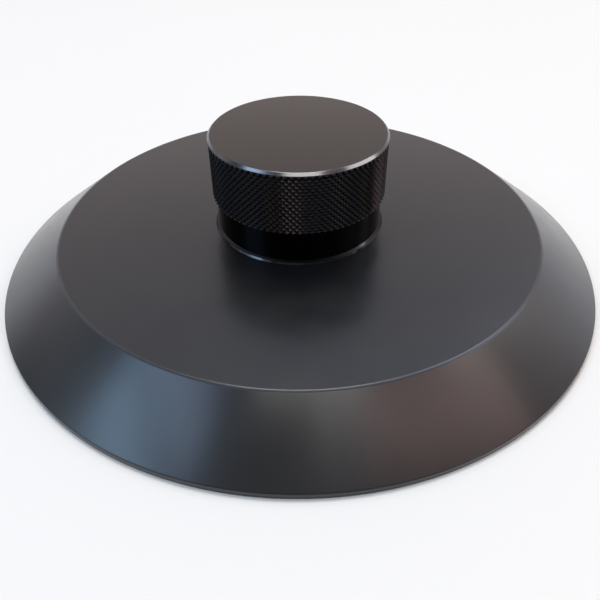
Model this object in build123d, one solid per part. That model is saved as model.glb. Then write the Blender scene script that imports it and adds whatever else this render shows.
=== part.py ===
"""Record clamp: a conical disc that a knurled knob locks to a turntable spindle.

The knob turns on a flanged bush in the disc and draws a split collet up into the
bush's taper, so that the collet closes on the spindle and the disc's rim holds
the record's label down.  Millimetres, +Z up, Z = 0 on the record's label.
"""
import os
from math import cos, pi, radians, sin, tan

from build123d import *

# Disc
disc_diameter = 100.0
top_face_diameter = 80.2
disc_height = 8.2
rim_height = 1.0
rim_edge_break = 0.2
top_edge_break = 0.28
recess_diameter = 88.0
recess_depth = 2.0
recess_corner = 0.8

# Seat bush, whose flange is the thin ring under the knob
bush_diameter = 22.0
flange_diameter = 28.4
flange_thickness = 0.54
flange_land = 0.05
flange_edge_width = 0.2
flange_edge_height = 0.25
flange_crown_width = 0.4
bush_lip = 1.1
bush_lead_in = 0.4

# Knob
knob_top_height = 24.0
grip_diameter = 28.6
grip_length = 10.0
grip_top_chamfer = 0.45
knurl_teeth = 66
knurl_angle = 45.0
knurl_depth = 0.25
neck_step = 0.65
neck_edge_break = 0.05
foot_relief_diameter = 21.0
foot_relief_depth = 0.6
knob_roof = 3.0

# Thread between the collet's stem and the knob, drawn at its pitch diameter
thread_diameter = 12.0
thread_pitch = 1.0
thread_length = 9.5
thread_lead_in = 0.6
turns_to_lock = 1.5

# Collet
spindle_bore = 7.4
bore_lead_in = 0.5
collet_rest_height = 0.8
collet_head_diameter = 16.4
collet_head_land = 0.6
collet_cone_length = 4.5
cone_half_angle = 20.0
collet_neck_diameter = 10.0
collet_neck_length = 3.1
slot_count = 4
slot_width = 1.0

# Key pin, which stops the collet turning and sets how far it drops
pin_diameter = 2.0
pin_height = 4.5
pin_reach = 1.2
keyway_floor_gap = 0.2

# Clearances, each on one side
bush_fit = 0.02
foot_clearance = 0.05
thread_clearance = 0.025
stem_clearance = 0.4
cone_clearance = 0.04
pin_fit = 0.01
key_clearance = 0.05
roof_clearance = 1.0

# Heights and radii that follow from the sizes above
slope = tan(radians(cone_half_angle))
lift = turns_to_lock * thread_pitch
pitch_radius = (thread_diameter - 0.6495 * thread_pitch) / 2
stem_radius = pitch_radius - thread_clearance
flange_top = disc_height + flange_thickness
knob_foot = flange_top + foot_clearance
grip_foot = knob_top_height - grip_length
knurl_top = knob_top_height - grip_top_chamfer
neck_radius = grip_diameter / 2 - neck_step
cone_foot = collet_rest_height + collet_head_land
cone_top = cone_foot + collet_cone_length
cone_top_radius = collet_head_diameter / 2 - collet_cone_length * slope
thread_foot = cone_top + collet_neck_length
collet_top = thread_foot + thread_length
lip_foot = flange_top - bush_lip


def turned(*outline):
    """Turn an outline of (radius, height) corners round the Z axis."""
    profile = make_face(Polyline(*outline, close=True))
    return revolve(Plane.XZ * profile, Axis.Z)


def seat_radius(height):
    """Radius of the bush's taper, which the raised collet just clears."""
    return collet_head_diameter / 2 - (height - lift - cone_foot) * slope + cone_clearance


def make_disc():
    """Disc with a sloping flank, and a recess that leaves only the rim on the label."""
    rim = disc_diameter / 2
    top = top_face_diameter / 2
    recess = recess_diameter / 2
    bore = bush_diameter / 2 + bush_fit
    flank = Vector(rim - top, rim_height - disc_height).normalized()
    return turned(
        (recess, 0),
        (rim - rim_edge_break, 0),
        (rim, rim_edge_break),
        (rim, rim_height),
        (top + top_edge_break * flank.X, disc_height + top_edge_break * flank.Y),
        (top - top_edge_break, disc_height),
        (bore, disc_height),
        (bore, recess_depth),
        (recess - recess_corner, recess_depth),
        (recess, recess_depth - recess_corner),
    )


def make_bush():
    """Flanged bush: a crowned ring above, the collet's taper below, and a bored lip between."""
    body = bush_diameter / 2
    flange = flange_diameter / 2
    crown = flange - flange_edge_width
    land_top = disc_height + flange_land
    bore = pitch_radius + stem_clearance
    bush = turned(
        (seat_radius(recess_depth), recess_depth),
        (body - bush_lead_in, recess_depth),
        (body, recess_depth + bush_lead_in),
        (body, disc_height),
        (flange, disc_height),
        (flange, land_top),
        (crown, land_top + flange_edge_height),
        (crown - flange_crown_width, flange_top),
        (bore, flange_top),
        (bore, lip_foot),
        (seat_radius(lip_foot), lip_foot),
    )
    hole = Cylinder(pin_diameter / 2 + pin_fit, body, align=(Align.CENTER, Align.CENTER, Align.MIN))
    return bush - Pos(0, 0, pin_height) * Rot(0, 90, 0) * hole


def make_pin():
    """Dowel through the bush's wall, with its tip in the collet's keyway."""
    outer = bush_diameter / 2
    inner = collet_cone_radius(pin_height) - pin_reach
    pin = Cylinder(pin_diameter / 2, outer - inner, align=(Align.CENTER, Align.CENTER, Align.MIN))
    return Pos(inner, 0, pin_height) * Rot(0, 90, 0) * pin


def collet_cone_radius(height):
    """Radius of the collet's cone at rest."""
    return collet_head_diameter / 2 - (height - cone_foot) * slope


def make_collet():
    """Split collet: tapered head, thin neck that lets it close, and threaded stem."""
    bore = spindle_bore / 2
    head = collet_head_diameter / 2
    neck = collet_neck_diameter / 2
    collet = turned(
        (bore + bore_lead_in, collet_rest_height),
        (head, collet_rest_height),
        (head, cone_foot),
        (cone_top_radius, cone_top),
        (neck, cone_top),
        (neck, thread_foot),
        (stem_radius, thread_foot),
        (stem_radius, collet_top - thread_lead_in),
        (stem_radius - thread_lead_in, collet_top),
        (bore, collet_top),
        (bore, collet_rest_height + bore_lead_in),
    )
    slot_length = thread_foot - slot_width - collet_rest_height
    slot = Box(head + 1, slot_width, slot_length, align=(Align.MIN, Align.CENTER, Align.MIN))
    slot += Pos(0, 0, slot_length) * Rot(0, 90, 0) * Cylinder(
        slot_width / 2, head + 1, align=(Align.CENTER, Align.CENTER, Align.MIN)
    )
    for step in range(slot_count):
        collet -= Rot(0, 0, (step + 0.5) * 360 / slot_count) * Pos(0, 0, collet_rest_height) * slot
    floor = collet_cone_radius(pin_height) - pin_reach - keyway_floor_gap
    key_radius = pin_diameter / 2 + key_clearance
    keyway = SlotCenterToCenter(lift + key_clearance, 2 * key_radius, rotation=90)
    key_middle = pin_height - (lift + key_clearance) / 2
    return collet - extrude(Plane((floor, 0, key_middle), x_dir=(0, 1, 0), z_dir=(1, 0, 0)) * keyway, head)


def make_grip():
    """Faces of the grip: a pyramid between each four crossing grooves, and the chamfered top."""
    crest = grip_diameter / 2
    half_tooth = pi / knurl_teeth
    rows = round((knurl_top - grip_foot) * tan(radians(knurl_angle)) / (crest * half_tooth))
    row_height = (knurl_top - grip_foot) / rows
    steps = range(2 * knurl_teeth)

    def point(step, inset, height):
        radius = crest - inset
        return Vector(radius * cos(step * half_tooth), radius * sin(step * half_tooth), height)

    def lattice(step, row):
        # Crests and groove crossings alternate like the squares of a chessboard
        depth = 0 if (step + row) % 2 else knurl_depth
        # The topmost groove crossings lie higher, where the grooves run out on the chamfer
        rise = depth if row == rows else 0
        return point(step, depth, grip_foot + row * row_height + rise)

    def rim(step):
        return point(step, grip_top_chamfer, knob_top_height)

    def flat(*corners):
        return Face(Wire.make_polygon(corners))

    faces = []
    for row in range(rows):
        for step in steps:
            lower = [lattice(step, row), lattice(step + 1, row)]
            upper = [lattice(step + 1, row + 1), lattice(step, row + 1)]
            corners = lower + upper
            # Each cell folds along the groove between its two corners at the root
            shift = (step + row) % 2
            a, b, c, d = corners[shift:] + corners[:shift]
            faces.append(flat(a, b, c))
            faces.append(flat(a, c, d))
    for step in steps:
        faces.append(flat(lattice(step, rows), lattice(step + 1, rows), rim(step + 1)))
        faces.append(flat(lattice(step, rows), rim(step + 1), rim(step)))
    faces.append(flat(*[rim(step) for step in steps]))
    shoulder = Wire.make_polygon([lattice(step, 0) for step in steps])
    faces.append(Face(shoulder, [Wire.make_circle(neck_radius, Plane.XY.offset(grip_foot))]))
    return faces


def make_knob():
    """Knob with a knurled grip, a plain neck and a blind threaded bore."""
    relief = foot_relief_diameter / 2
    bore = pitch_radius + thread_clearance
    roof = max(collet_top + lift + roof_clearance, knob_top_height - knob_roof)
    relief_top = knob_foot + foot_relief_depth
    outline = Polyline(
        (neck_radius, grip_foot),
        (neck_radius, knob_foot + neck_edge_break),
        (neck_radius - neck_edge_break, knob_foot),
        (relief, knob_foot),
        (relief, relief_top),
        (bore + thread_lead_in, relief_top),
        (bore, relief_top + thread_lead_in),
        (bore, roof),
        (0, roof),
    )
    neck_and_bore = Shell.revolve(Plane.XZ * outline, 360, Axis.Z)
    return Solid(Shell(neck_and_bore.faces() + make_grip()))


os.makedirs("parts", exist_ok=True)
export_step(make_disc(), "parts/clamp_disc.step")
export_step(make_bush(), "parts/seat_bush.step")
export_step(make_pin(), "parts/key_pin.step")
export_step(make_collet(), "parts/collet.step")
export_step(make_knob(), "parts/knob.step")
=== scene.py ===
"""Studio picture of a record clamp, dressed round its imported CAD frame."""
from math import atan2, hypot, pi, radians

import bpy
from mathutils import Matrix, Quaternion, Vector


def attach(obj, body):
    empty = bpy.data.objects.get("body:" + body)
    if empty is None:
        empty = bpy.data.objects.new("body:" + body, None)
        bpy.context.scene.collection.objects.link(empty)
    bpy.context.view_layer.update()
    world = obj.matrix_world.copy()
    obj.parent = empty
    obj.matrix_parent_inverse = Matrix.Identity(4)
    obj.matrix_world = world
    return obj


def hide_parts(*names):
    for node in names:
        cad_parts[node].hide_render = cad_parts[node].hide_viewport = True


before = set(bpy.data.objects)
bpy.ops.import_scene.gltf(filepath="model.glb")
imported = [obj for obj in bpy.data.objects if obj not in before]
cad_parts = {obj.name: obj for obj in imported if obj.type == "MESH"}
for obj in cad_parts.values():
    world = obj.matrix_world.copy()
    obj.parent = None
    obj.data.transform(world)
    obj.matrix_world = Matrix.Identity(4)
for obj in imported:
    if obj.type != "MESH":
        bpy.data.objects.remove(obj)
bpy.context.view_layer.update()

MM = 0.001

# Sizes of the dressed pieces, in millimetres, as in the part's source. Only the knurl,
# the chamfer on the knob's top and the rounding of the disc's edges are finer here.
DISC_RADIUS = 50.0
TOP_FACE_RADIUS = 40.1
DISC_HEIGHT = 8.2
RIM_HEIGHT = 1.0
RECESS_RADIUS = 44.0
RECESS_DEPTH = 2.0
RECESS_CORNER = 0.8
BUSH_HOLE_RADIUS = 11.02
TOP_EDGE_ROUNDING = 0.28
RIM_FOOT_ROUNDING = 0.2
RIM_EDGE_ROUNDING = 0.12

BUSH_RADIUS = 11.0
BUSH_LEAD_IN = 0.4
FLANGE_RADIUS = 14.2
FLANGE_TOP = 8.74
FLANGE_LAND = 0.05
FLANGE_EDGE_WIDTH = 0.2
FLANGE_EDGE_HEIGHT = 0.25
FLANGE_CROWN_WIDTH = 0.4
LIP_RADIUS = 6.075
LIP_FOOT = 7.64
SEAT_MOUTH_RADIUS = 8.568
SEAT_TOP_RADIUS = 6.515
PIN_HOLE_RADIUS = 1.01
PIN_HOLE_STEPS = 64
PIN_HEIGHT = 4.5
DRILL_LENGTH = 8.0

KNOB_TOP = 24.0
KNOB_FOOT = 8.79
GRIP_FOOT = 14.0
CREST_RADIUS = 14.3
KNURL_DEPTH = 0.34
KNURL_TEETH = 90
KNURL_ROWS = 19
CREST_FLAT = 0.12
TOP_CHAMFER = 0.38
TOP_ROUNDING = 0.04
NECK_RADIUS = 13.65
NECK_EDGE = 0.05
RELIEF_RADIUS = 10.5
RELIEF_TOP = 9.39
BORE_RADIUS = 5.7
BORE_MOUTH = 0.6
BORE_ROOF = 21.0

# How far inward and down the band along the disc's top edge reaches, which is painted paler as a
# highlight
EDGE_HIGHLIGHT_WIDTH = 0.24
EDGE_HIGHLIGHT_HEIGHT = 0.15

# Steps round the disc and the bush, and how close points lie that are picked or merged
ROUND_STEPS = 288
NEAR = 0.01
MERGED = 0.002


# Modelling

def clean():
    """In edit mode, merge doubled points and turn all faces outward, then leave edit mode."""
    bpy.ops.mesh.select_all(action="SELECT")
    bpy.ops.mesh.remove_doubles(threshold=MERGED * MM)
    bpy.ops.mesh.normals_make_consistent(inside=False)
    bpy.ops.object.mode_set(mode="OBJECT")


def pick(piece, wanted, mode="VERT"):
    """Go into edit mode with only the wanted places selected: points, or the edges between them."""
    bpy.ops.object.mode_set(mode="EDIT")
    bpy.ops.mesh.select_mode(type=mode)
    bpy.ops.mesh.select_all(action="DESELECT")
    bpy.ops.object.mode_set(mode="OBJECT")
    for vertex in piece.data.vertices:
        vertex.select = wanted(vertex.co / MM)
    if mode == "EDGE":
        for edge in piece.data.edges:
            edge.select = all(piece.data.vertices[i].select for i in edge.vertices)
    bpy.ops.object.mode_set(mode="EDIT")


def turned(name, outline, steps, closed=True):
    """Spin an outline of (radius, height) corners, in millimetres, round the Z axis."""
    bpy.ops.object.select_all(action="DESELECT")
    bpy.ops.mesh.primitive_circle_add(vertices=len(outline))
    piece = bpy.context.object
    piece.name = piece.data.name = name
    for vertex, (radius, height) in zip(piece.data.vertices, outline):
        vertex.co = (radius * MM, 0, height * MM)
    if not closed:
        # The edge along the axis between the outline's ends is no part of the surface
        pick(piece, lambda place: hypot(place.x, place.y) < NEAR, mode="EDGE")
        bpy.ops.mesh.delete(type="EDGE_FACE")
        bpy.ops.mesh.select_mode(type="VERT")
        bpy.ops.object.mode_set(mode="OBJECT")
    bpy.ops.object.mode_set(mode="EDIT")
    bpy.ops.mesh.select_all(action="SELECT")
    bpy.ops.mesh.spin(steps=steps, angle=2 * pi, center=(0, 0, 0), axis=(0, 0, 1))
    clean()
    return piece


def round_edges(piece, rings, width, segments):
    """Round the turned edges at the given (radius, height) corners."""
    def on_ring(place):
        return any(
            abs(hypot(place.x, place.y) - radius) < NEAR and abs(place.z - height) < NEAR
            for radius, height in rings
        )

    pick(piece, on_ring, mode="EDGE")
    bpy.ops.mesh.bevel(offset=width * MM, offset_type="OFFSET", segments=segments, affect="EDGES")
    bpy.ops.object.mode_set(mode="OBJECT")


def make_active(piece):
    """Select one piece alone and make it the active one."""
    bpy.ops.object.select_all(action="DESELECT")
    piece.select_set(True)
    bpy.context.view_layer.objects.active = piece


def smooth(piece, angle):
    """Shade smooth across edges flatter than the angle, in degrees."""
    make_active(piece)
    bpy.ops.object.shade_smooth_by_angle(angle=radians(angle))
    # Broad faces stay flat up to their rounded edges
    bpy.ops.object.modifier_add(type="WEIGHTED_NORMAL")
    weighted = piece.modifiers[-1]
    weighted.keep_sharp = True
    weighted.thresh = 0
    bpy.ops.object.modifier_apply(modifier=weighted.name)


def make_disc():
    """Turned disc: flat rim land, sloping flank and a top face with a broken edge."""
    disc = turned("disc", [
        (RECESS_RADIUS, 0),
        (DISC_RADIUS, 0),
        (DISC_RADIUS, RIM_HEIGHT),
        (TOP_FACE_RADIUS, DISC_HEIGHT),
        (BUSH_HOLE_RADIUS, DISC_HEIGHT),
        (BUSH_HOLE_RADIUS, RECESS_DEPTH),
        (RECESS_RADIUS - RECESS_CORNER, RECESS_DEPTH),
        (RECESS_RADIUS, RECESS_DEPTH - RECESS_CORNER),
    ], ROUND_STEPS)
    round_edges(disc, [(TOP_FACE_RADIUS, DISC_HEIGHT)], TOP_EDGE_ROUNDING, segments=4)
    round_edges(disc, [(DISC_RADIUS, 0)], RIM_FOOT_ROUNDING, segments=3)
    round_edges(disc, [(DISC_RADIUS, RIM_HEIGHT), (RECESS_RADIUS, 0)], RIM_EDGE_ROUNDING, segments=3)
    smooth(disc, angle=25)
    return disc


def make_bush():
    """Flanged bush: its flange is the thin ring under the knob, its taper seats the collet."""
    crown = FLANGE_RADIUS - FLANGE_EDGE_WIDTH
    land_top = DISC_HEIGHT + FLANGE_LAND
    bush = turned("ring_bush", [
        (SEAT_MOUTH_RADIUS, RECESS_DEPTH),
        (BUSH_RADIUS - BUSH_LEAD_IN, RECESS_DEPTH),
        (BUSH_RADIUS, RECESS_DEPTH + BUSH_LEAD_IN),
        (BUSH_RADIUS, DISC_HEIGHT),
        (FLANGE_RADIUS, DISC_HEIGHT),
        (FLANGE_RADIUS, land_top),
        (crown, land_top + FLANGE_EDGE_HEIGHT),
        (crown - FLANGE_CROWN_WIDTH, FLANGE_TOP),
        (LIP_RADIUS, FLANGE_TOP),
        (LIP_RADIUS, LIP_FOOT),
        (SEAT_TOP_RADIUS, LIP_FOOT),
    ], ROUND_STEPS)
    # Hole for the key pin, drilled through the wall on the +X side
    bpy.ops.object.select_all(action="DESELECT")
    bpy.ops.mesh.primitive_cylinder_add(
        vertices=PIN_HOLE_STEPS, radius=PIN_HOLE_RADIUS * MM, depth=DRILL_LENGTH * MM,
        location=(DRILL_LENGTH * MM, 0, PIN_HEIGHT * MM), rotation=(0, pi / 2, 0),
    )
    drill = bpy.context.object
    make_active(bush)
    bpy.ops.object.modifier_add(type="BOOLEAN")
    hole = bush.modifiers[-1]
    hole.object = drill
    hole.operation = "DIFFERENCE"
    hole.solver = "EXACT"
    bpy.ops.object.modifier_apply(modifier=hole.name)
    bpy.data.objects.remove(drill)
    bpy.ops.object.mode_set(mode="EDIT")
    clean()
    smooth(bush, angle=15)
    return bush


def make_knob():
    """Knob: smooth top, bright chamfer, diamond knurl, plain neck and a bore, whose thread is not drawn.
    """
    knurl_top = KNOB_TOP - TOP_CHAMFER
    row_height = (knurl_top - GRIP_FOOT) / KNURL_ROWS
    root_radius = CREST_RADIUS - KNURL_DEPTH
    grip = [(CREST_RADIUS, knurl_top - row * row_height) for row in range(KNURL_ROWS + 1)]
    knob = turned("knob_grip", [
        (0, KNOB_TOP),
        (CREST_RADIUS - TOP_CHAMFER, KNOB_TOP),
        *grip,
        (NECK_RADIUS, GRIP_FOOT),
        (NECK_RADIUS, KNOB_FOOT),
        (RELIEF_RADIUS, KNOB_FOOT),
        (RELIEF_RADIUS, RELIEF_TOP),
        (BORE_RADIUS + BORE_MOUTH, RELIEF_TOP),
        (BORE_RADIUS, RELIEF_TOP + BORE_MOUTH),
        (BORE_RADIUS, BORE_ROOF),
        (0, BORE_ROOF),
    ], 2 * KNURL_TEETH, closed=False)

    def groove_crossing(place):
        """True at every second point of the grip's lattice below the chamfer, as on a chessboard."""
        step = round(atan2(place.y, place.x) / (pi / KNURL_TEETH))
        row = round((place.z - GRIP_FOOT) / row_height)
        on_grip = abs(hypot(place.x, place.y) - CREST_RADIUS) < NEAR and row < KNURL_ROWS
        return on_grip and (step + row) % 2 == 0

    def grip_surface(place):
        """True at the grip's crests and groove crossings."""
        return hypot(place.x, place.y) > root_radius - NEAR

    def crest(place):
        """True at the crests, apart from those at the grip's top and foot."""
        inner_row = GRIP_FOOT + row_height / 2 < place.z < knurl_top - row_height / 2
        return inner_row and hypot(place.x, place.y) > CREST_RADIUS - KNURL_DEPTH / 2

    # Grooves: every second point goes in to the root, and the cells fold along the grooves
    pick(knob, groove_crossing)
    shrink = root_radius / CREST_RADIUS
    bpy.ops.transform.resize(value=(shrink, shrink, 1), center_override=(0, 0, 0))
    pick(knob, grip_surface)
    bpy.ops.mesh.quads_convert_to_tris(quad_method="SHORTEST_DIAGONAL", ngon_method="BEAUTY")
    # Crests: rolled knurls and handling leave a small flat on each point
    pick(knob, crest)
    bpy.ops.mesh.bevel(offset=CREST_FLAT * MM, offset_type="OFFSET", segments=1, affect="VERTICES")
    bpy.ops.object.mode_set(mode="OBJECT")
    round_edges(knob, [(CREST_RADIUS - TOP_CHAMFER, KNOB_TOP)], TOP_ROUNDING, segments=1)
    round_edges(knob, [(NECK_RADIUS, KNOB_FOOT)], NECK_EDGE, segments=1)
    smooth(knob, angle=20)
    return knob


# Materials

# Sockets of a Mix node that mixes colours
COLOUR_A, COLOUR_B, MIXED = 6, 7, 2


def linear(colour):
    """Linear RGBA of an sRGB hex colour."""
    channels = [int(colour[i:i + 2], 16) / 255 for i in (1, 3, 5)]
    return (*[c / 12.92 if c <= 0.04045 else ((c + 0.055) / 1.055) ** 2.4 for c in channels], 1)


def add(tree, kind, sockets, **settings):
    """Add a node with its settings, and give each socket a value or another node's output."""
    made = tree.nodes.new(kind)
    for name, value in settings.items():
        setattr(made, name, value)
    for socket, value in sockets.items():
        if isinstance(value, bpy.types.NodeSocket):
            tree.links.new(value, made.inputs[socket])
        else:
            made.inputs[socket].default_value = value
    return made


def new_material(name):
    """Empty material, with its node tree."""
    made = bpy.data.materials.new(name)
    made.use_nodes = True
    made.node_tree.nodes.clear()
    return made, made.node_tree


def from_axis(tree, place):
    """Distance of each point from the axis that the pieces are turned round."""
    flat = add(tree, "ShaderNodeVectorMath", {
        0: place.outputs["Object"], 1: (1, 1, 0),
    }, operation="MULTIPLY")
    radius = add(tree, "ShaderNodeVectorMath", {0: flat.outputs[0]}, operation="LENGTH")
    return radius.outputs["Value"]


def turning_marks(tree, radius, spacing):
    """Height of the rings that a lathe tool leaves, with their spacing in millimetres."""
    rings = add(tree, "ShaderNodeTexNoise", {
        "W": radius, "Scale": 1 / (spacing * MM), "Detail": 2.0, "Roughness": 0.6,
    }, noise_dimensions="1D")
    return rings.outputs["Fac"]


def black_acetal():
    """Black acetal, fine turned: deep grey-black with a soft sheen and faint rings."""
    made, tree = new_material("black acetal, fine turned")
    place = add(tree, "ShaderNodeTexCoord", {})
    axes = add(tree, "ShaderNodeSeparateXYZ", {"Vector": place.outputs["Object"]})
    radius = from_axis(tree, place)
    # Rings are drawn at 0.3 mm, coarser than a fine feed of 0.1 mm, so that they show
    rings = turning_marks(tree, radius, 0.3)
    bump = add(tree, "ShaderNodeBump", {"Height": rings, "Strength": 0.12, "Distance": 0.01 * MM})
    # Handling leaves the sheen slightly uneven, in patches of about 6 mm
    mottle = add(tree, "ShaderNodeTexNoise", {
        "Vector": place.outputs["Object"], "Scale": 1 / (6 * MM), "Detail": 4.0, "Roughness": 0.6,
    })
    tint = add(tree, "ShaderNodeMix", {
        "Factor": mottle.outputs["Fac"], COLOUR_A: linear("#121315"), COLOUR_B: linear("#17181a"),
    }, data_type="RGBA")
    sheen = add(tree, "ShaderNodeMapRange", {
        "Value": mottle.outputs["Fac"], "From Min": 0.3, "From Max": 0.7, "To Min": 0.28, "To Max": 0.34,
    })
    # Along the top edge a paler colour is painted as a highlight line, and the surface there is made
    # duller
    outer = add(tree, "ShaderNodeMath", {
        0: radius, 1: (TOP_FACE_RADIUS - EDGE_HIGHLIGHT_WIDTH) * MM,
    }, operation="GREATER_THAN")
    high = add(tree, "ShaderNodeMath", {
        0: axes.outputs["Z"], 1: (DISC_HEIGHT - EDGE_HIGHLIGHT_HEIGHT) * MM,
    }, operation="GREATER_THAN")
    edge = add(tree, "ShaderNodeMath", {0: outer.outputs[0], 1: high.outputs[0]}, operation="MULTIPLY")
    painted_edge_highlight = add(tree, "ShaderNodeMix", {
        "Factor": edge.outputs[0], COLOUR_A: tint.outputs[MIXED], COLOUR_B: linear("#34363a"),
    }, data_type="RGBA")
    dull = add(tree, "ShaderNodeMath", {
        0: edge.outputs[0], 1: 0.05, 2: sheen.outputs[0],
    }, operation="MULTIPLY_ADD")
    coat = add(tree, "ShaderNodeMath", {0: edge.outputs[0], 1: -0.2, 2: 0.5}, operation="MULTIPLY_ADD")
    shader = add(tree, "ShaderNodeBsdfPrincipled", {
        "Base Color": painted_edge_highlight.outputs[MIXED],
        "Roughness": dull.outputs[0],
        "IOR": 1.48,
        "Specular IOR Level": 0.3,
        "Normal": bump.outputs[0],
        "Coat Weight": coat.outputs[0],
        "Coat Roughness": 0.22,
        "Coat IOR": 1.48,
        "Coat Normal": bump.outputs[0],
    })
    add(tree, "ShaderNodeOutputMaterial", {"Surface": shader.outputs[0]})
    return made


def black_anodised():
    """Black anodised aluminium, turned: dark metal whose dyed skin keeps a satin gloss."""
    made, tree = new_material("black anodised aluminium, turned")
    place = add(tree, "ShaderNodeTexCoord", {})
    axes = add(tree, "ShaderNodeSeparateXYZ", {"Vector": place.outputs["Object"]})
    radius = from_axis(tree, place)
    rings = turning_marks(tree, radius, 0.25)
    bump = add(tree, "ShaderNodeBump", {"Height": rings, "Strength": 0.1, "Distance": 0.008 * MM})
    # Where each finish lies: on the chamfer a point's radius and height add up to the most
    cone = add(tree, "ShaderNodeMath", {0: radius, 1: axes.outputs["Z"]}, operation="ADD")
    cut = add(tree, "ShaderNodeMath", {
        0: cone.outputs[0], 1: (CREST_RADIUS - TOP_CHAMFER + KNOB_TOP - NEAR) * MM,
    }, operation="GREATER_THAN")
    under = add(tree, "ShaderNodeMath", {
        0: axes.outputs["Z"], 1: (KNOB_TOP - 2 * NEAR) * MM,
    }, operation="LESS_THAN")
    side = add(tree, "ShaderNodeMath", {
        0: under.outputs[0], 1: cut.outputs[0],
    }, operation="SUBTRACT", use_clamp=True)
    neck = add(tree, "ShaderNodeMath", {
        0: axes.outputs["Z"], 1: (GRIP_FOOT - 2 * NEAR) * MM,
    }, operation="LESS_THAN")
    grip = add(tree, "ShaderNodeMath", {
        0: side.outputs[0], 1: neck.outputs[0],
    }, operation="SUBTRACT", use_clamp=True)
    grain = add(tree, "ShaderNodeTexNoise", {
        "Vector": place.outputs["Object"], "Scale": 1 / (0.8 * MM), "Detail": 3.0, "Roughness": 0.6,
    })
    tint = add(tree, "ShaderNodeMix", {
        "Factor": grain.outputs["Fac"], COLOUR_A: linear("#474747"), COLOUR_B: linear("#4f4e4e"),
    }, data_type="RGBA")
    # The top chamfer was cut last and is brighter: the dye has hardly taken there
    bright = add(tree, "ShaderNodeMix", {
        "Factor": cut.outputs[0], COLOUR_A: tint.outputs[MIXED], COLOUR_B: linear("#606061"),
    }, data_type="RGBA")
    # Painted shade: the side is given a darker colour than the top, and the neck, in shade under the
    # grip, a darker one still with weaker glancing reflections
    skin = add(tree, "ShaderNodeMix", {
        "Factor": neck.outputs[0], COLOUR_A: linear("#2a2a2b"), COLOUR_B: linear("#1e1e1f"),
    }, data_type="RGBA")
    # The side's darker colour mixed in here is painted shade
    dark = add(tree, "ShaderNodeMix", {
        "Factor": side.outputs[0], COLOUR_A: bright.outputs[MIXED], COLOUR_B: skin.outputs[MIXED],
    }, data_type="RGBA")
    # Painted shade: glancing reflections are dimmed on the neck
    glance = add(tree, "ShaderNodeMix", {
        "Factor": neck.outputs[0], COLOUR_A: linear("#ffffff"), COLOUR_B: linear("#d4d4d4"),
    }, data_type="RGBA")
    # The side is glossier than the top, but the grip is duller again and scatters a little light
    sheen = add(tree, "ShaderNodeMapRange", {
        "Value": rings, "From Min": 0.3, "From Max": 0.7, "To Min": 0.16, "To Max": 0.22,
    })
    gloss = add(tree, "ShaderNodeMath", {
        0: side.outputs[0], 1: -0.04, 2: sheen.outputs[0],
    }, operation="MULTIPLY_ADD")
    rough = add(tree, "ShaderNodeMath", {
        0: grip.outputs[0], 1: 0.06, 2: gloss.outputs[0],
    }, operation="MULTIPLY_ADD")
    metal = add(tree, "ShaderNodeMath", {0: grip.outputs[0], 1: -0.2, 2: 1.0}, operation="MULTIPLY_ADD")
    shader = add(tree, "ShaderNodeBsdfPrincipled", {
        "Base Color": dark.outputs[MIXED],
        "Metallic": metal.outputs[0],
        "Roughness": rough.outputs[0],
        "Normal": bump.outputs[0],
        "Specular Tint": glance.outputs[MIXED],
    })
    add(tree, "ShaderNodeOutputMaterial", {"Surface": shader.outputs[0]})
    return made


def polished_anodised():
    """Black anodised aluminium, polished: dark metal with clean highlights and no tool rings."""
    made, tree = new_material("black anodised aluminium, polished")
    place = add(tree, "ShaderNodeTexCoord", {})
    # Polishing leaves a faint grain of 0.15 mm, and the dye dims glancing reflections
    grain = add(tree, "ShaderNodeTexNoise", {
        "Vector": place.outputs["Object"], "Scale": 1 / (0.15 * MM), "Detail": 3.0, "Roughness": 0.6,
    })
    tint = add(tree, "ShaderNodeMix", {
        "Factor": grain.outputs["Fac"], COLOUR_A: linear("#353537"), COLOUR_B: linear("#3e3e3f"),
    }, data_type="RGBA")
    sheen = add(tree, "ShaderNodeMapRange", {
        "Value": grain.outputs["Fac"], "From Min": 0.3, "From Max": 0.7, "To Min": 0.1, "To Max": 0.16,
    })
    bump = add(tree, "ShaderNodeBump", {
        "Height": grain.outputs["Fac"], "Strength": 0.2, "Distance": 0.01 * MM,
    })
    shader = add(tree, "ShaderNodeBsdfPrincipled", {
        "Base Color": tint.outputs[MIXED],
        "Metallic": 1.0,
        "Roughness": sheen.outputs[0],
        "Normal": bump.outputs[0],
        "Specular Tint": linear("#c0c0c0"),
    })
    add(tree, "ShaderNodeOutputMaterial", {"Surface": shader.outputs[0]})
    return made


def turned_brass():
    """Free-cutting brass, turned: warm yellow metal with tool rings and a dull bloom."""
    made, tree = new_material("free-cutting brass, turned")
    place = add(tree, "ShaderNodeTexCoord", {})
    rings = turning_marks(tree, from_axis(tree, place), 0.2)
    bump = add(tree, "ShaderNodeBump", {"Height": rings, "Strength": 0.2, "Distance": 0.02 * MM})
    # The bloom comes in patches of about 3 mm
    bloom = add(tree, "ShaderNodeTexNoise", {
        "Vector": place.outputs["Object"], "Scale": 1 / (3 * MM), "Detail": 4.0,
    })
    tint = add(tree, "ShaderNodeMix", {
        "Factor": bloom.outputs["Fac"], COLOUR_A: linear("#b08d4c"), COLOUR_B: linear("#d9bd7a"),
    }, data_type="RGBA")
    sheen = add(tree, "ShaderNodeMapRange", {"Value": rings, "To Min": 0.25, "To Max": 0.4})
    shader = add(tree, "ShaderNodeBsdfPrincipled", {
        "Base Color": tint.outputs[MIXED],
        "Metallic": 1.0,
        "Roughness": sheen.outputs[0],
        "Normal": bump.outputs[0],
    })
    add(tree, "ShaderNodeOutputMaterial", {"Surface": shader.outputs[0]})
    return made


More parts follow.
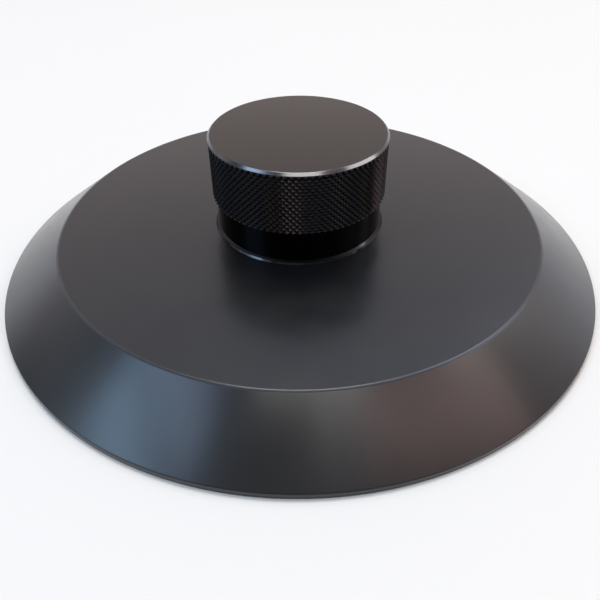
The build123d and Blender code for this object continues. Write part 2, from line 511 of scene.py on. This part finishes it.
def ground_steel():
    """Hardened dowel steel, ground: bright grey with fine grinding lines along the pin."""
    made, tree = new_material("hardened steel, ground")
    place = add(tree, "ShaderNodeTexCoord", {})
    # Lines 1.2 mm long and a twelfth as wide
    along = add(tree, "ShaderNodeMapping", {"Vector": place.outputs["Object"], "Scale": (1, 12, 12)})
    lines = add(tree, "ShaderNodeTexNoise", {
        "Vector": along.outputs[0], "Scale": 1 / (1.2 * MM), "Detail": 3.0,
    })
    tint = add(tree, "ShaderNodeMix", {
        "Factor": lines.outputs["Fac"], COLOUR_A: linear("#8e9092"), COLOUR_B: linear("#b4b5b6"),
    }, data_type="RGBA")
    sheen = add(tree, "ShaderNodeMapRange", {
        "Value": lines.outputs["Fac"], "To Min": 0.2, "To Max": 0.35,
    })
    shader = add(tree, "ShaderNodeBsdfPrincipled", {
        "Base Color": tint.outputs[MIXED], "Metallic": 1.0, "Roughness": sheen.outputs[0],
    })
    add(tree, "ShaderNodeOutputMaterial", {"Surface": shader.outputs[0]})
    return made


def white_table():
    """Pale matt table top, which runs out into a plain white background far from the clamp."""
    made, tree = new_material("white table, matt lacquer")
    lacquer = add(tree, "ShaderNodeBsdfPrincipled", {"Base Color": linear("#f3f0ea"), "Roughness": 0.7})
    white = add(tree, "ShaderNodeEmission", {"Color": linear("#ffffff"), "Strength": 1.0})
    place = add(tree, "ShaderNodeTexCoord", {})
    distance = add(tree, "ShaderNodeVectorMath", {0: place.outputs["Object"]}, operation="LENGTH")
    far = add(tree, "ShaderNodeMapRange", {
        "Value": distance.outputs["Value"], "From Min": 0.28, "From Max": 0.75,
    }, interpolation_type="SMOOTHSTEP")
    # Only the camera and reflections see the white, so it casts no light of its own
    ray = add(tree, "ShaderNodeLightPath", {})
    looked_at = add(tree, "ShaderNodeMath", {
        0: ray.outputs["Is Camera Ray"], 1: ray.outputs["Is Glossy Ray"],
    }, operation="MAXIMUM")
    fade = add(tree, "ShaderNodeMath", {
        0: far.outputs[0], 1: looked_at.outputs[0],
    }, operation="MULTIPLY")
    table = add(tree, "ShaderNodeMixShader", {
        0: fade.outputs[0], 1: lacquer.outputs[0], 2: white.outputs[0],
    })
    add(tree, "ShaderNodeOutputMaterial", {"Surface": table.outputs[0]})
    return made


def dress(piece, material):
    """Give a piece its one material."""
    piece.data.materials.clear()
    piece.data.materials.append(material)


# Pieces

disc = make_disc()
dress(disc, black_acetal())
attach(disc, "base")
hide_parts("clamp_disc")

knob = make_knob()
dress(knob, black_anodised())
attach(knob, "knob")
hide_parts("knob")

bush = make_bush()
dress(bush, polished_anodised())
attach(bush, "base")
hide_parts("seat_bush")

dress(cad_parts["collet"], turned_brass())
dress(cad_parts["key_pin"], ground_steel())


# Studio, in metres

LAMP_DISTANCE = 1.2

# Camera as fitted to the photograph, with angles in radians, and lens and sensor in millimetres
CAMERA_PLACE = (0, -0.09177, 0.06577)
CAMERA_DIP = 0.69412
CAMERA_ROLL = -0.010023
CAMERA_LENS = 37.305
CAMERA_SENSOR = 36


def softbox(name, direction, size, colour, radiance, roll=0):
    """Area lamp of the given radiance that faces the clamp from a direction, rolled in degrees."""
    lamp = bpy.data.lights.new(name, "AREA")
    lamp.shape = "RECTANGLE"
    lamp.size, lamp.size_y = size
    lamp.color = linear(colour)[:3]
    # An area lamp's power is four times its radiance times its area
    lamp.energy = 4 * radiance * size[0] * size[1]
    made = bpy.data.objects.new(name, lamp)
    bpy.context.scene.collection.objects.link(made)
    away = Vector(direction).normalized()
    made.location = away * LAMP_DISTANCE
    turn = (-away).to_track_quat("-Z", "Y") @ Quaternion((0, 0, 1), radians(roll))
    made.rotation_euler = turn.to_euler()


def card(name, place, aim, size, colour, glow, roll=0):
    """Studio card that faces a point, rolled in degrees, and that only reflections see."""
    bpy.ops.object.select_all(action="DESELECT")
    turn = (Vector(aim) - Vector(place)).to_track_quat("Z", "Y") @ Quaternion((0, 0, 1), radians(roll))
    bpy.ops.mesh.primitive_plane_add(size=1, location=place, rotation=turn.to_euler())
    made = bpy.context.object
    made.name = made.data.name = name
    made.scale = (*size, 1)
    bpy.ops.object.transform_apply(location=False, rotation=False, scale=True)
    material, tree = new_material(name)
    shader = add(tree, "ShaderNodeEmission", {"Color": linear(colour), "Strength": glow})
    add(tree, "ShaderNodeOutputMaterial", {"Surface": shader.outputs[0]})
    dress(made, material)
    made.visible_camera = False
    made.visible_diffuse = False
    made.visible_shadow = False


bpy.ops.object.select_all(action="DESELECT")
bpy.ops.mesh.primitive_plane_add(size=6)
floor = bpy.context.object
floor.name = "floor"
dress(floor, white_table())

# Daylight from windows on the left, warm white room light in front, on the right and overhead
softbox("window", (-0.755, -0.32, 0.572), (0.50, 0.22), "#a8d0f2", 5.8)
softbox("upper_window", (-0.591, -0.314, 0.743), (0.60, 0.22), "#c0dbff", 4.2)
softbox("left_wall", (-0.90, 0.16, 0.44), (0.70, 0.40), "#e6efff", 0.5)
softbox("front_light", (0.059, -0.481, 0.875), (0.70, 0.20), "#fffcf8", 4.2)
softbox("right_light", (0.787, 0.07, 0.614), (0.74, 0.20), "#fffaf4", 3.9, -36)
softbox("right_wall", (0.90, 0.20, 0.38), (0.60, 0.36), "#f6f2ff", 0.38)
softbox("overhead_light", (0.0, 0.30, 0.95), (0.5, 0.4), "#fffaf4", 7.4)

# Cards that give the flank, the knurl and the edges their highlights
card(
    "card_by_the_lens", (-0.0215, -0.0951, 0.0712), (-0.0215, -0.0181, 0.0072), (0.057, 0.032),
    "#ffffff", 0.3,
)
card("warm_card", (0.380, -0.219, 0.409), (0, 0, 0.005), (0.50, 0.105), "#ffd9d4", 3.2, 31)
card("window_side", (-1.026, -0.478, 0.735), (0, 0, 0.008), (0.98, 0.12), "#d8e8ff", 1.3, -22)
card("rear_right_card", (0.627, 0.545, 1.064), (0, 0, 0.008), (0.60, 0.45), "#e4ebff", 6.0)
card("front_card", (-0.281, -0.772, 0.366), (0, 0, 0.019), (1.8, 0.38), "#dfe2ff", 0.34)
card("low_warm_card", (0.464, -0.313, 0.215), (0, 0, 0.019), (0.23, 0.15), "#ffd9d4", 2.2)
card("right_low_card", (1.274, -0.044, 0.341), (0, 0, 0.019), (0.62, 0.33), "#ffeae4", 0.36)
card("warm_edge", (0.0541, -0.1039, 0.0583), (-0.0009, -0.0779, 0.0073), (0.024, 0.040), "#ffe2d2", 0.6)

# The room itself: a pale wall behind the clamp that is brightest at its foot, a dim side by the
# camera, and a cool ceiling that darkens straight overhead
world = bpy.data.worlds.new("room")
bpy.context.scene.world = world
world.use_nodes = True
room = world.node_tree
room.nodes.clear()
toward = add(room, "ShaderNodeTexCoord", {})
axes = add(room, "ShaderNodeSeparateXYZ", {"Vector": toward.outputs["Generated"]})
behind = add(room, "ShaderNodeVectorMath", {
    0: toward.outputs["Generated"], 1: (0.12, 0.99, 0),
}, operation="DOT_PRODUCT")
wall = add(room, "ShaderNodeMapRange", {
    "Value": behind.outputs["Value"], "From Min": 0.0, "From Max": 0.55, "To Min": 0.05, "To Max": 0.80,
}, interpolation_type="SMOOTHSTEP")
foot = add(room, "ShaderNodeMapRange", {
    "Value": axes.outputs["Z"], "From Min": 0.05, "From Max": 0.40, "To Min": 1.6, "To Max": 1.0,
})
lit_wall = add(room, "ShaderNodeMath", {0: wall.outputs[0], 1: foot.outputs[0]}, operation="MULTIPLY")
above = add(room, "ShaderNodeMapRange", {
    "Value": axes.outputs["Z"], "From Min": 0.35, "From Max": 0.9,
}, interpolation_type="SMOOTHSTEP")
ceiling = add(room, "ShaderNodeMapRange", {
    "Value": axes.outputs["Z"], "From Min": 0.88, "From Max": 0.98, "To Min": 0.25, "To Max": 0.02,
})
strength = add(room, "ShaderNodeMath", {
    0: above.outputs[0], 1: ceiling.outputs[0], 2: lit_wall.outputs[0],
}, operation="MULTIPLY_ADD")
up_the_wall = add(room, "ShaderNodeMapRange", {
    "Value": axes.outputs["Z"], "From Min": 0.10, "From Max": 0.38,
})
wall_tone = add(room, "ShaderNodeMix", {
    "Factor": up_the_wall.outputs[0], COLOUR_A: linear("#eef2ff"), COLOUR_B: linear("#ffece4"),
}, data_type="RGBA")
tone = add(room, "ShaderNodeMix", {
    "Factor": above.outputs[0], COLOUR_A: wall_tone.outputs[MIXED], COLOUR_B: linear("#d4e4ff"),
}, data_type="RGBA")
surroundings = add(room, "ShaderNodeBackground", {
    "Color": tone.outputs[MIXED], "Strength": strength.outputs[0],
})
# The camera itself sees plain white beyond the floor
backdrop = add(room, "ShaderNodeBackground", {"Color": linear("#ffffff"), "Strength": 1.0})
ray = add(room, "ShaderNodeLightPath", {})
seen = add(room, "ShaderNodeMixShader", {
    0: ray.outputs["Is Camera Ray"], 1: surroundings.outputs[0], 2: backdrop.outputs[0],
})
add(room, "ShaderNodeOutputWorld", {"Surface": seen.outputs[0]})

camera_data = bpy.data.cameras.new("camera")
camera_data.sensor_width = CAMERA_SENSOR
camera_data.lens = CAMERA_LENS
camera_data.clip_start = 0.005
camera = bpy.data.objects.new("camera", camera_data)
bpy.context.scene.collection.objects.link(camera)
camera.location = CAMERA_PLACE
look_down = Matrix.Rotation(pi / 2 - CAMERA_DIP, 3, "X")
camera.rotation_euler = (look_down @ Matrix.Rotation(CAMERA_ROLL, 3, "Z")).to_euler()
bpy.context.scene.camera = camera

bpy.context.scene.view_settings.view_transform = "Standard"
